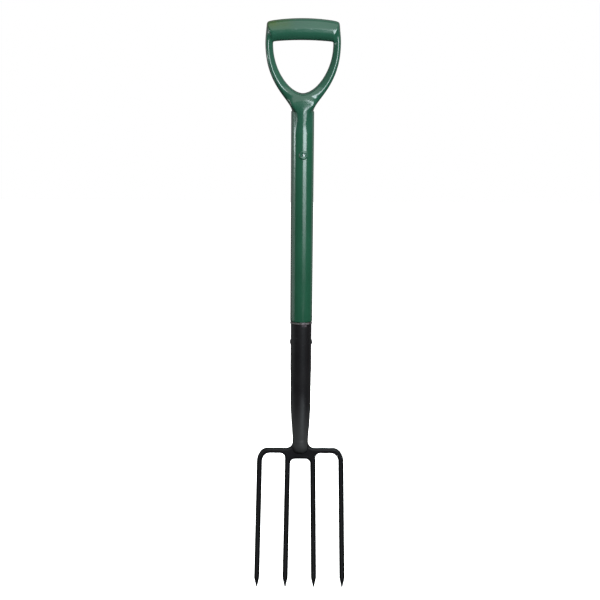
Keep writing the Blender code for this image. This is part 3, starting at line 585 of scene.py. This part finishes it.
def painted_crown_glint(tree, colour):
    """Painted glint: paler grey towards the crowns of the cross rivet."""
    out = maths(tree, "ABSOLUTE", place_axis(tree, "X"))
    # painted glint: paler towards each crown
    crown = remap(tree, out, CROWN_GLINT_START_X, CROWN_GLINT_FULL_X, at_end=CROWN_GLINT_SHARE)
    return mix(tree, crown, colour, PAINTED_CROWN_GLINT)


def head_painted_shade_and_sheen(tree, colour):
    """Painted shade on the chamfers, darker than the flats that face forward, and painted sheen:
    greyer paint on the front of the boss.
    """
    # painted shade: the chamfers, which face less forward, get a darker black
    facing = node(tree, "ShaderNodeTexCoord").outputs["Normal"]
    forward = node(tree, "ShaderNodeSeparateXYZ", {0: facing}).outputs["Y"]
    flat = remap(tree, maths(tree, "ABSOLUTE", forward), LIT_FRONT_START, LIT_FRONT_FULL)
    colour = mix(tree, flat, PAINTED_CHAMFER_SHADE, colour)
    # painted sheen: greyer paint towards the front of the boss
    place = place_axis(tree, "Y")
    front = remap(tree, place, BOSS_SHEEN_START_Y, BOSS_SHEEN_FULL_Y, at_end=PAINTED_SHEEN_SHARE)
    return mix(tree, front, colour, PAINTED_SHEEN_GREY)


HANDLE_GREEN = green_plastic("handle_green", (0.0140, 0.062, 0.037), True, EVEN)
COVER_GREEN = green_plastic("cover_green", (0.0110, 0.058, 0.031), False, COVER_STREAKS)
RIVET_GREEN = green_plastic("rivet_green", (0.0150, 0.066, 0.040), False, EVEN)
HEAD_BLACK = black_paint(
    "head_black", (0.0092, 0.0086, 0.0092),
    rough_low=0.38, rough_high=0.46, specks=0.55, painted_light=head_painted_shade_and_sheen,
)
SOCKET_BLACK = black_paint(
    "socket_black", (0.0082, 0.0074, 0.0078),
    rough_low=0.33, rough_high=0.41, specks=0.4, painted_light=neck_and_rim_painted_light,
)
RIVET_BLACK = black_paint(
    "rivet_black", (0.0095, 0.0090, 0.0095),
    rough_low=0.30, rough_high=0.40, specks=0.4, painted_light=painted_crown_glint,
)
TUBE_STEEL = steel("tube_steel", (0.46, 0.46, 0.47), TUBE_STREAKS)
STEM_STEEL = steel("stem_steel", (0.62, 0.62, 0.62), EVEN)


def forged_head():
    """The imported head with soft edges, the way forging and paint leave them."""
    obj = new_object("forged_head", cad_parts["fork_head"].data.copy())
    remesh = obj.modifiers.new("Remesh", "REMESH")
    remesh.mode = "VOXEL"
    remesh.voxel_size = HEAD_VOXEL
    smooth = obj.modifiers.new("Smooth", "SMOOTH")
    smooth.factor = HEAD_SMOOTHING_FACTOR
    smooth.iterations = HEAD_SMOOTHING
    bake(obj)
    obj.data.shade_smooth()
    dress(obj, "fork_head", HEAD_BLACK)


def centre_line(z):
    """How far the neck's middle lies in front of (-) the shaft axis at height z."""
    return -LIFT * blend((LIFT_TOP_Z - z) / (LIFT_TOP_Z - BOSS_LOW_Z))


def follow_centre_line(obj):
    """Bends a turned piece from the shaft axis onto the neck's middle."""
    for vertex in obj.data.vertices:
        vertex.co.y += centre_line(vertex.co.z)


def neck_outer_radius(z):
    """Outside of the socket: a slight draft, then swaged down, faster towards the weld."""
    if z >= NECK_START_Z:
        share = min((z - NECK_START_Z) / SOCKET_DRAFT_LENGTH, 1)
        return NECK_START_RADIUS + SOCKET_DRAFT * share
    share = min((NECK_START_Z - z) / (NECK_START_Z - SOCKET_END_Z), 1)
    return NECK_START_RADIUS - (NECK_START_RADIUS - NECK_RADIUS) * share**NECK_FALL


def steel_socket():
    """Swaged tube socket with a rolled rim, and holes for the cross rivet."""
    rim_radius = SOCKET_RADIUS + RIM_FLARE
    outside = rounded_path(
        [
            (SOCKET_INNER_RADIUS, RIM_LOW_Z, 0),
            (SOCKET_INNER_RADIUS, RIM_TOP_Z, RIM_INNER_ROUND),
            (rim_radius, RIM_TOP_Z, RIM_TOP_ROUND),
            (rim_radius, RIM_LOW_Z, RIM_UNDER_ROUND),
            (SOCKET_RADIUS, RIM_LOW_Z - RIM_FLARE, RIM_FOOT_ROUND),
            (SOCKET_RADIUS, SOCKET_STRAIGHT_Z, 0),
        ]
    )
    neck = heights(SOCKET_STRAIGHT_Z, NECK_START_Z, DRAFT_ROWS)[1:]
    neck += heights(NECK_START_Z, SOCKET_END_Z, NECK_ROWS)[1:]
    profile = outside + [(neck_outer_radius(z), z) for z in neck]
    profile += [(neck_outer_radius(z) - SOCKET_WALL, z) for z in reversed(neck)]
    obj = turned("steel_socket", profile)
    reach = Vector((SOCKET_RADIUS * CUT_REACH, 0, 0))
    middle = Vector((0, 0, SOCKET_RIVET_Z))
    cut(obj, cylinder(SOCKET_RIVET_SHANK + GAP, middle - reach, middle + reach))
    follow_centre_line(obj)
    shade(obj, degrees=35)
    dress(obj, "socket", SOCKET_BLACK)


def dressed_weld():
    """The weld, ground flush and painted over, so that only a faint swell is left."""
    flank = WELD_HALF_HEIGHT + WELD_TOE
    profile = []
    for z in heights(NECK_Z + flank, NECK_Z - flank, WELD_ROWS):
        off = (z - NECK_Z) / flank
        wall = neck_outer_radius(max(z, SOCKET_END_Z))
        profile.append((wall + WELD_SWELL * (1 - off**4) - WELD_SINK, z))
    inner = NECK_RADIUS - SOCKET_WALL
    profile += [(inner, NECK_Z - WELD_HALF_HEIGHT / 2), (inner, NECK_Z + WELD_HALF_HEIGHT / 2)]
    obj = turned("dressed_weld", profile)
    follow_centre_line(obj)
    shade(obj, degrees=50)
    dress(obj, "neck_weld", HEAD_BLACK)


def cross_rivet():
    """Rivet through the socket, with a low hammered dome at each end."""
    crown = CROSS_RIVET_HIGH.x
    seat = SOCKET_RADIUS - GAP
    dome = []
    for i in range(ARC_SEGMENTS + 1):
        angle = math.pi / 2 * i / ARC_SEGMENTS
        dome.append((SOCKET_RIVET_HEAD * math.sin(angle), seat + (crown - seat) * math.cos(angle)))
    profile = dome + [(SOCKET_RIVET_SHANK, seat), (SOCKET_RIVET_SHANK, -seat)]
    profile += [(radius, -height) for radius, height in reversed(dome)]
    obj = turned("cross_rivet", profile, closed=False, steps=RIVET_STEPS)
    turn = Matrix.Translation((0, 0, SOCKET_RIVET_Z)) @ Matrix.Rotation(math.pi / 2, 4, "Y")
    obj.data.transform(turn)
    shade(obj, degrees=40)
    dress(obj, "socket_rivet", RIVET_BLACK)


def cover_radius(z):
    """Outside of the cover at height z."""
    share = (z - COVER_LOW.z) / (COVER_HIGH.z - COVER_LOW.z)
    return COVER_BOTTOM_RADIUS + (COVER_TOP_RADIUS - COVER_BOTTOM_RADIUS) * share


def shaft_sleeve():
    """The green cover, with a rounded lower end and the rivet's hole."""
    inner = TUBE_RADIUS + GAP
    top = COLLAR_BOTTOM_Z - MERGE
    rows = heights(top, COVER_LOW.z + COVER_ROWS_END, COVER_ROWS)
    corners = [(cover_radius(z), z, 0) for z in rows]
    corners += [
        (COVER_BOTTOM_RADIUS, COVER_LOW.z, COVER_END_ROUND),
        (inner, COVER_LOW.z, COVER_INNER_ROUND),
        (inner, top, 0),
    ]
    obj = turned("shaft_sleeve", rounded_path(corners))
    centre = Vector((0, 0, HANDLE_RIVET_Z))
    outward = Vector((math.sin(HANDLE_RIVET_TURN), -math.cos(HANDLE_RIVET_TURN), 0))
    far = centre + outward * COVER_TOP_RADIUS * CUT_REACH
    cut(obj, cylinder(HANDLE_RIVET_SHANK + GAP, centre, far))
    shade(obj, degrees=30)
    dress(obj, "shaft_cover", COVER_GREEN)


def place_on_cover(obj):
    """Bends a turned piece to the cover's curve and turns its axis to point out of the shaft."""
    radius = cover_radius(HANDLE_RIVET_Z)
    for vertex in obj.data.vertices:
        vertex.co.z -= radius - math.sqrt(radius**2 - vertex.co.x**2)
    turn = Matrix.Rotation(HANDLE_RIVET_TURN, 4, "Z") @ Matrix.Rotation(math.pi / 2, 4, "X")
    obj.data.transform(Matrix.Translation((0, 0, HANDLE_RIVET_Z)) @ turn)
    shade(obj, degrees=40)


def blind_rivet():
    """Large-flange blind rivet: dished flange with a rolled lip round a well."""
    seat = cover_radius(HANDLE_RIVET_Z) + GAP / 2
    crown = seat + HANDLE_RIVET_RISE
    well = HANDLE_RIVET_FLANGE - HANDLE_RIVET_LIP
    bore = STEM_RADIUS + GAP
    end = -FLANGE_HIGH.y / math.cos(HANDLE_RIVET_TURN)
    edge = HANDLE_RIVET_FLANGE - FLANGE_EDGE_INSET
    profile = rounded_path(
        [
            (bore, seat + GAP, 0),
            (well - WELL_FOOT_INSET, seat + GAP, WELL_FOOT_ROUND),
            (well + WELL_LIP_OUTSET, crown, WELL_LIP_ROUND),
            (edge, crown - FLANGE_EDGE_DROP, FLANGE_EDGE_ROUND),
            (HANDLE_RIVET_FLANGE, seat, FLANGE_SEAT_ROUND),
            (HANDLE_RIVET_SHANK, seat, 0),
            (HANDLE_RIVET_SHANK, end, 0),
            (bore, end, 0),
        ]
    )
    obj = turned("blind_rivet", profile, steps=RIVET_STEPS)
    place_on_cover(obj)
    dress(obj, "handle_rivet", RIVET_GREEN)


def broken_stem():
    """End of the rivet's stem, where it broke off: a bright burred spot."""
    top = cover_radius(HANDLE_RIVET_Z) + GAP + HANDLE_RIVET_RISE * STEM_RISE_SHARE
    low = cover_radius(HANDLE_RIVET_Z) - STEM_DEPTH
    profile = rounded_path(
        [
            (0, top + STEM_PEAK, 0),
            (STEM_RADIUS / 2, top, 0),
            (STEM_RADIUS, top - STEM_EDGE_DROP, STEM_EDGE_ROUND),
            (STEM_RADIUS, low, 0),
            (0, low, 0),
        ]
    )
    obj = turned("broken_stem", profile, closed=False, steps=RIVET_STEPS)
    for vertex in obj.data.vertices:
        if vertex.co.z > top - BURR_REACH:
            vertex.co.z += BURR_HEIGHT * noise.noise(vertex.co * BURR_SCALE)
    place_on_cover(obj)
    dress(obj, "handle_rivet_stem", STEM_STEEL)


def cubic(controls, share):
    """Point at a share of the way along one cubic Bezier curve in the XZ plane."""
    start, leave, arrive, end = (Vector(point) for point in controls)
    rest = 1 - share
    near = start * rest**3 + leave * 3 * share * rest**2
    return near + arrive * 3 * share**2 * rest + end * share**3


def arm_outer_edge(share):
    """Point (x, z) on the arm's outer edge, which runs from the grip down to the collar."""
    rise = ARM_START_Z - COLLAR_TOP_Z
    controls = (
        (HANDLE_HALF_WIDTH, ARM_START_Z),
        (HANDLE_HALF_WIDTH, COLLAR_TOP_Z + ARM_OUTER_LEAVE * rise),
        (COLLAR_RADIUS - WAIST_INSET, COLLAR_TOP_Z + ARM_OUTER_ARRIVE * rise),
        (COLLAR_RADIUS - COLLAR_INSET, COLLAR_TOP_Z),
    )
    return cubic(controls, share)


def arm_inner_edge(share):
    """Point (x, z) on the arm's inner edge, which runs from the grip down to the crotch."""
    start_z = ARM_START_Z - GRIP_CORNER * SHOULDER_DROP
    controls = (
        (ARM_INNER_X, start_z),
        (ARM_INNER_X * ARM_INNER_BULGE, CROTCH_Z + ARM_INNER_LEAVE * (start_z - CROTCH_Z)),
        (ARM_INNER_X * ARM_INNER_ARRIVE, CROTCH_Z),
        (0, CROTCH_Z),
    )
    return cubic(controls, share)


def rib(outer, inner, depth, section):
    """One row of the cage: outer and inner are (x, z), depth is front to back."""
    row = []
    for across, forward in section:
        x = outer[0] + (inner[0] - outer[0]) * across
        z = outer[1] + (inner[1] - outer[1]) * across
        row.append(Vector((x, -forward * depth / 2, z)))
    return row


def grip_rows():
    """Rows across the grip bar from the middle out, then round its end to the arm."""
    rows = []
    for share in GRIP_ROWS:
        x = GRIP_END_X * share
        top = GRIP_TOP_Z - GRIP_ARCH * share**2
        low = GRIP_LOW_Z - GRIP_UNDER_ARCH * share**2
        rows.append(rib((x, top), (x, low), GRIP_DEPTH, GRIP_SECTION))
    end_top_z = GRIP_TOP_Z - GRIP_ARCH
    for outer_shift, inner_shift, depth, section in CORNER_ROWS:
        outer = Vector((GRIP_END_X, end_top_z)) - Vector(outer_shift) * GRIP_CORNER
        inner = Vector((ARM_INNER_X, GRIP_END_LOW_Z)) - Vector(inner_shift) * GRIP_CORNER
        rows.append(rib(outer, inner, GRIP_DEPTH * depth, section))
    outer_x = HANDLE_HALF_WIDTH - GRIP_CORNER * SHOULDER_INSET
    outer = (outer_x, GRIP_END_LOW_Z + GRIP_CORNER * SHOULDER_RISE)
    inner = (ARM_INNER_X, GRIP_END_LOW_Z - GRIP_CORNER * SHOULDER_DROP)
    rows.append(rib(outer, inner, GRIP_DEPTH * SHOULDER_DEPTH, ARM_SECTION))
    return rows


def arm_rows():
    """Rows down the arm to the crotch, where the inner edge reaches the middle plane."""
    rows = []
    for i in range(ARM_ROWS):
        share = i / (ARM_ROWS - 1)
        outer = arm_outer_edge(ARM_OUTER_SHARE * share**ARM_RIB_LEAN)
        depth = ARM_DEPTH * (1 + ARM_SWELL * share)
        flat = blend((share - ARM_FLAT_SHARE) / (1 - ARM_FLAT_SHARE))
        section = [Vector(a).lerp(Vector(b), flat) for a, b in zip(ARM_SECTION, CROTCH_SECTION)]
        rows.append(rib(outer, arm_inner_edge(share), depth, section))
    crotch = rows[-1]
    crotch[3].x *= CROTCH_SIDE_SHARE
    crotch[4] = Vector((0, crotch[4].y * CROTCH_FRONT_SHARE, CROTCH_Z - CROTCH_EDGE))
    return rows


def yoke_rows(crotch, tongue):
    """Rows between the crotch and the tongue: the front swells out to the tongue's.

    The point beside the middle is a third of the way from its depth to the ridge's.
    """
    rows = []
    for edge_share, height_share, swell, ridge_share in YOKE_ROWS:
        edge = arm_outer_edge(edge_share)
        middle_z = COLLAR_TOP_Z + YOKE_HEIGHT * height_share
        middle_depth = crotch[4].y + (tongue[4].y - crotch[4].y) * swell
        ridge_depth = middle_depth * ridge_share
        ridge_z = edge[1] + (middle_z - edge[1]) * YOKE_RIDGE_RISE
        ridge = Vector((edge[0] * YOKE_RIDGE, ridge_depth, ridge_z))
        side_depth = (ridge_depth + middle_depth * 2) / 3
        side_z = middle_z + (ridge.z - middle_z) * YOKE_SIDE
        rows.append(
            [
                Vector((edge[0], 0, edge[1])),
                Vector((edge[0] * YOKE_FLANK, ridge_depth / 2, edge[1])),
                ridge,
                Vector((ridge.x * YOKE_SIDE, side_depth, side_z)),
                Vector((0, middle_depth, middle_z)),
            ]
        )
    return rows


def tongue_rows():
    """Rows of the tongue, which stands proud of the collar, narrows and sinks into it."""
    rows = []
    for i in range(TONGUE_ROWS):
        share = i / (TONGUE_ROWS - 1)
        z = COLLAR_TOP_Z + (TONGUE_END_Z - COLLAR_TOP_Z) * share
        proud = (TONGUE_PROUD + TONGUE_SINK) * (1 - share) ** TONGUE_FADE - TONGUE_SINK
        front = COLLAR_RADIUS + proud
        narrowing = (TONGUE_HALF_ANGLE - TONGUE_END_HALF_ANGLE) * share**TONGUE_NARROWING
        ridge_x = COLLAR_RADIUS * math.sin(TONGUE_HALF_ANGLE - narrowing)
        flank_x = ridge_x + TONGUE_FLANK * (1 - share / 2)
        flank_depth = math.sqrt(COLLAR_RADIUS**2 - flank_x**2) - TONGUE_FLANK
        side_x = COLLAR_RADIUS - TONGUE_SINK - TONGUE_FLANK * share
        rows.append(
            [
                Vector((side_x, 0, z)),
                Vector((flank_x, -flank_depth, z)),
                Vector((ridge_x, -math.sqrt(front**2 - ridge_x**2), z)),
                Vector((ridge_x / 2, -math.sqrt(front**2 - ridge_x**2 / 4), z)),
                Vector((0, -front, z)),
            ]
        )
    return rows


def d_grip():
    """The D in full fineness: one quarter, mirrored and subdivided."""
    arm = arm_rows()
    tongue = tongue_rows()
    rows = grip_rows() + arm + yoke_rows(arm[-1], tongue[0]) + tongue
    bm = bmesh.new()
    grid = [[bm.verts.new(point) for point in row] for row in rows]
    for upper, lower in zip(grid, grid[1:]):
        for column in range(min(len(upper), len(lower)) - 1):
            bm.faces.new((upper[column], lower[column], lower[column + 1], upper[column + 1]))
    last = grid[-1]
    heart = bm.verts.new((0, 0, last[0].co.z))
    bm.faces.new((last[0], heart, last[2], last[1]))
    bm.faces.new((last[2], heart, last[4], last[3]))
    bmesh.ops.recalc_face_normals(bm, faces=bm.faces)
    mesh = bpy.data.meshes.new("d_handle")
    bm.to_mesh(mesh)
    bm.free()
    obj = new_object("d_handle", mesh)
    mirror = obj.modifiers.new("Other quarters", "MIRROR")
    mirror.use_axis = (True, True, False)
    mirror.merge_threshold = MERGE
    smooth = obj.modifiers.new("Smooth", "SUBSURF")
    smooth.levels = HANDLE_LEVELS
    smooth.render_levels = HANDLE_LEVELS
    return bake(obj)


def collar_and_spigot():
    """Collar, groove for the tube and spigot, as one turning."""
    groove = TUBE_RADIUS + GAP
    bore = SPIGOT_RADIUS - SPIGOT_WALL
    profile = rounded_path(
        [
            (0, COLLAR_TOP_Z, 0),
            (COLLAR_RADIUS, COLLAR_TOP_Z, COLLAR_SHOULDER),
            (COLLAR_RADIUS, COLLAR_BOTTOM_Z, 0),
            (groove, COLLAR_BOTTOM_Z, 0),
            (groove, GROOVE_TOP_Z, 0),
            (SPIGOT_RADIUS, GROOVE_TOP_Z, 0),
            (SPIGOT_RADIUS, SPIGOT_BOTTOM_Z + SPIGOT_LEAD, 0),
            (SPIGOT_RADIUS - SPIGOT_LEAD / 2, SPIGOT_BOTTOM_Z, 0),
            (bore, SPIGOT_BOTTOM_Z, 0),
            (bore, GROOVE_TOP_Z, 0),
            (0, GROOVE_TOP_Z, 0),
        ]
    )
    return turned("collar", profile, closed=False)


def d_handle():
    """The whole handle moulding: the D joined to its collar and spigot."""
    obj = d_grip()
    cut(obj, collar_and_spigot(), "UNION")
    shade(obj, degrees=30)
    dress(obj, "handle_moulding", HANDLE_GREEN)


forged_head()
steel_socket()
dressed_weld()
cross_rivet()
shaft_sleeve()
blind_rivet()
broken_stem()
d_handle()
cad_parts["shaft_tube"].material_slots[0].material = TUBE_STEEL


# Studio: light, the floor, and the room that the gloss reflects
KEY_COLOUR = (0.90, 1, 1.06)
STRIP_COLOUR = (0.90, 1, 1.02)
GLOW_COLOUR = (0.94, 1, 1.0)
FILL_COLOUR = (0.96, 1, 1)
WHITE = (1, 1, 1, 1)
FLOOR_HALF_SIZE = 6
FLOOR_COLOUR = (0.9, 0.9, 0.9, 1)
FLOOR_ROUGHNESS = 0.9
ROOM_LOW = (0.03, 0.03, 0.03, 1)
ROOM_HIGH = (0.45, 0.45, 0.46, 1)
ROOM_BESIDE = (0.6, 0.6, 0.6, 1)
ROOM_BEHIND = (0.15, 0.15, 0.15, 1)


def studio_camera():
    data = bpy.data.cameras.new("camera")
    data.lens = CAMERA_LENS
    data.sensor_width = CAMERA_SENSOR
    data.clip_end = CAMERA_CLIP_END
    camera = new_object("camera", data)
    camera.location = CAMERA_PLACE
    down = math.radians(CAMERA_LOOKS_DOWN)
    forward = Vector((0, math.cos(down), -math.sin(down)))
    roll = Matrix.Rotation(math.radians(CAMERA_ROLL), 3, "Z")
    aim = forward.to_track_quat("-Z", "Y").to_matrix() @ roll
    camera.rotation_euler = aim.to_euler()
    bpy.context.scene.camera = camera


def panel(name, width, length, watts):
    """A rectangular area light that the camera doesn't see."""
    data = bpy.data.lights.new(name, "AREA")
    data.shape = "RECTANGLE"
    data.size = width
    data.size_y = length
    data.energy = watts
    light = new_object(name, data)
    light.visible_camera = False
    return light


def softbox(name, azimuth, distance, low, high, width, watts, colour, mirrored=True):
    """An upright panel. Azimuth 0 is the camera's side, and it grows to the right.

    Gloss reflects the panel only where it is mirrored.
    """
    light = panel(name, width, high - low, watts)
    light.data.color = colour
    angle = math.radians(azimuth)
    away = Vector((math.sin(angle), -math.cos(angle), 0))
    light.location = away * distance + Vector((0, 0, (low + high) / 2))
    light.rotation_euler = away.to_track_quat("Z", "Y").to_euler()
    light.visible_glossy = mirrored


def overhead(height, width, depth, forward, watts):
    light = panel("overhead", width, depth, watts)
    light.location = (0, -forward, height)


def pale_floor():
    mesh = bpy.data.meshes.new("floor")
    bm = bmesh.new()
    bmesh.ops.create_grid(bm, x_segments=1, y_segments=1, size=FLOOR_HALF_SIZE)
    bm.to_mesh(mesh)
    bm.free()
    floor = new_object("floor", mesh)
    floor.location.z = HEAD_LOW.z
    material, _, shader = new_material("floor_white")
    shader.inputs["Base Color"].default_value = FLOOR_COLOUR
    shader.inputs["Roughness"].default_value = FLOOR_ROUGHNESS
    shader.inputs["Emission Color"].default_value = WHITE
    shader.inputs["Emission Strength"].default_value = 1
    mesh.materials.append(material)
    floor.visible_glossy = False
    floor.visible_diffuse = False


def studio_world():
    """White behind the fork, and a dimmer room in what it reflects."""
    world = bpy.data.worlds.new("studio")
    world.use_nodes = True
    tree = world.node_tree
    shader = tree.nodes["Background"]
    seen = node(tree, "ShaderNodeLightPath").outputs["Is Camera Ray"]
    direction = node(tree, "ShaderNodeTexCoord").outputs["Generated"]
    way = node(tree, "ShaderNodeSeparateXYZ", {0: direction})
    raised = remap(tree, way.outputs["Z"], start=-0.1, end=0.5)
    room = mix(tree, raised, ROOM_LOW, ROOM_HIGH)
    beside = remap(tree, way.outputs["Y"], start=0.25, end=0.55)
    level = remap(tree, way.outputs["Z"], start=-0.26, end=-0.13)
    room = mix(tree, maths(tree, "MULTIPLY", beside, level), room, ROOM_BESIDE)
    behind = remap(tree, way.outputs["Y"], start=0.65, end=0.9)
    room = mix(tree, behind, room, ROOM_BEHIND)
    tree.links.new(mix(tree, seen, room, WHITE), shader.inputs["Color"])
    bpy.context.scene.world = world
    bpy.context.scene.view_settings.view_transform = "Standard"


studio_camera()
softbox(
    "key", azimuth=24, distance=1.3, low=0.57, high=1.45, width=0.78,
    watts=31, colour=KEY_COLOUR,
)
softbox(
    "key_foot", azimuth=24, distance=1.3, low=0.40, high=0.57, width=0.78,
    watts=1.7, colour=KEY_COLOUR,
)
softbox(
    "strip", azimuth=-84, distance=1.6, low=0.575, high=0.665, width=0.44,
    watts=2.4, colour=STRIP_COLOUR,
)
softbox(
    "strip_foot", azimuth=-84, distance=1.6, low=0.02, high=0.575, width=0.44,
    watts=1.0, colour=STRIP_COLOUR,
)
softbox(
    "edge_glow", azimuth=-104, distance=1.6, low=0.02, high=1.0, width=0.5,
    watts=2.0, colour=GLOW_COLOUR,
)
softbox(
    "back_fill", azimuth=170, distance=1.8, low=0.05, high=1.35, width=0.8,
    watts=50, colour=FILL_COLOUR, mirrored=False,
)
overhead(height=2.6, width=2.8, depth=5.9, forward=3.05, watts=66)
pale_floor()
studio_world()
